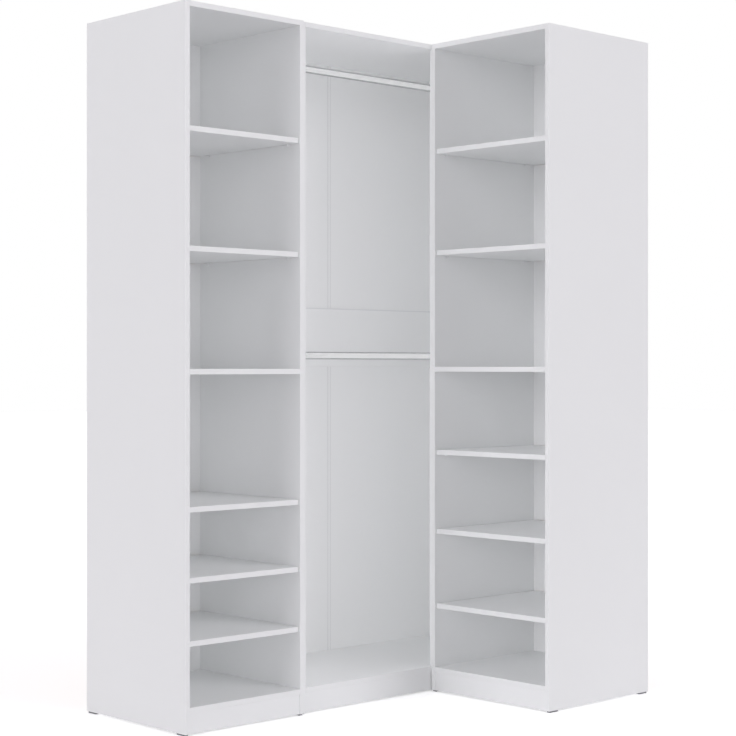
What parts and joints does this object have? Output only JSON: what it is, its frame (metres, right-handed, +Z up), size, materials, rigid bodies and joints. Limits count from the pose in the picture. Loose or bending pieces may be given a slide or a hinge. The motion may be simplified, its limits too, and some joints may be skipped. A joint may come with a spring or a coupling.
{
  "type": "corner wardrobe",
  "caption": "White open corner wardrobe: shelf towers at right angles joined by a blind corner with chromed hanging rails; loose shelves lie on pins and pull out.",
  "frame": {"origin": "on the floor, in the middle of the bounding box", "axes": "+Z up; +X along the left tower's and corner's front, towards the right tower; +Y into their depth, so they open towards -Y and the right tower opens towards -X"},
  "size_m": [1.5, 0.98, 2.1],
  "materials": {
    "board_white": "white melamine-faced particle board, satin, edge-banded",
    "back_sheet": "thin white-lacquered fibreboard, satin",
    "joint_profile": "white extruded plastic",
    "rail_chrome": "polished chromed steel tube",
    "socket_chrome": "chromed die-cast zinc",
    "screw_steel": "zinc-plated steel",
    "glide_plastic": "grey moulded plastic",
    "cam_zinc": "bare die-cast zinc",
    "bolt_steel": "zinc-plated steel",
    "dowel_beech": "bare beech",
    "pin_white": "white moulded plastic"
  },
  "bodies": {
    "carcass": {"cam_bolts": "bolt_steel", "cam_discs": "cam_zinc", "corner_back_joint": "joint_profile", "corner_back_left": "back_sheet", "corner_back_right": "back_sheet", "corner_blind_front": "board_white", "corner_bottom": "board_white", "corner_left_side": "board_white", "corner_lower_hanging_rail": "rail_chrome", "corner_plinth": "board_white", "corner_rear_rail": "board_white", "corner_right_side": "board_white", "corner_top": "board_white", "corner_upper_hanging_rail": "rail_chrome", "dowels": "dowel_beech", "floor_glides": "glide_plastic", "joining_screws": "screw_steel", "left_back": "back_sheet", "left_bottom": "board_white", "left_inner_side": "board_white", "left_outer_side": "board_white", "left_plinth": "board_white", "left_shelf_3": "board_white", "left_shelf_pins": "pin_white", "left_top": "board_white", "rail_socket_screws": "screw_steel", "rail_sockets": "socket_chrome", "right_back": "back_sheet", "right_bottom": "board_white", "right_inner_side": "board_white", "right_outer_side": "board_white", "right_plinth": "board_white", "right_shelf_3": "board_white", "right_shelf_pins": "pin_white", "right_top": "board_white"},
    "left_shelf_1": {"left_shelf_1": "board_white"},
    "left_shelf_2": {"left_shelf_2": "board_white"},
    "left_shelf_4": {"left_shelf_4": "board_white"},
    "left_shelf_5": {"left_shelf_5": "board_white"},
    "left_shelf_6": {"left_shelf_6": "board_white"},
    "right_shelf_1": {"right_shelf_1": "board_white"},
    "right_shelf_2": {"right_shelf_2": "board_white"},
    "right_shelf_4": {"right_shelf_4": "board_white"},
    "right_shelf_5": {"right_shelf_5": "board_white"},
    "right_shelf_6": {"right_shelf_6": "board_white"}
  },
  "joints": [
    {"name": "left_shelf_1_slide", "type": "slide", "parent": "carcass", "child": "left_shelf_1", "axis": [0, -1, 0], "range_m": [0, 0.5]},
    {"name": "left_shelf_2_slide", "type": "slide", "parent": "carcass", "child": "left_shelf_2", "axis": [0, -1, 0], "range_m": [0, 0.5]},
    {"name": "left_shelf_4_slide", "type": "slide", "parent": "carcass", "child": "left_shelf_4", "axis": [0, -1, 0], "range_m": [0, 0.5]},
    {"name": "left_shelf_5_slide", "type": "slide", "parent": "carcass", "child": "left_shelf_5", "axis": [0, -1, 0], "range_m": [0, 0.5]},
    {"name": "left_shelf_6_slide", "type": "slide", "parent": "carcass", "child": "left_shelf_6", "axis": [0, -1, 0], "range_m": [0, 0.5]},
    {"name": "right_shelf_1_slide", "type": "slide", "parent": "carcass", "child": "right_shelf_1", "axis": [-1, 0, 0], "range_m": [0, 0.5]},
    {"name": "right_shelf_2_slide", "type": "slide", "parent": "carcass", "child": "right_shelf_2", "axis": [-1, 0, 0], "range_m": [0, 0.5]},
    {"name": "right_shelf_4_slide", "type": "slide", "parent": "carcass", "child": "right_shelf_4", "axis": [-1, 0, 0], "range_m": [0, 0.5]},
    {"name": "right_shelf_5_slide", "type": "slide", "parent": "carcass", "child": "right_shelf_5", "axis": [-1, 0, 0], "range_m": [0, 0.5]},
    {"name": "right_shelf_6_slide", "type": "slide", "parent": "carcass", "child": "right_shelf_6", "axis": [-1, 0, 0], "range_m": [0, 0.5]}
  ]
}
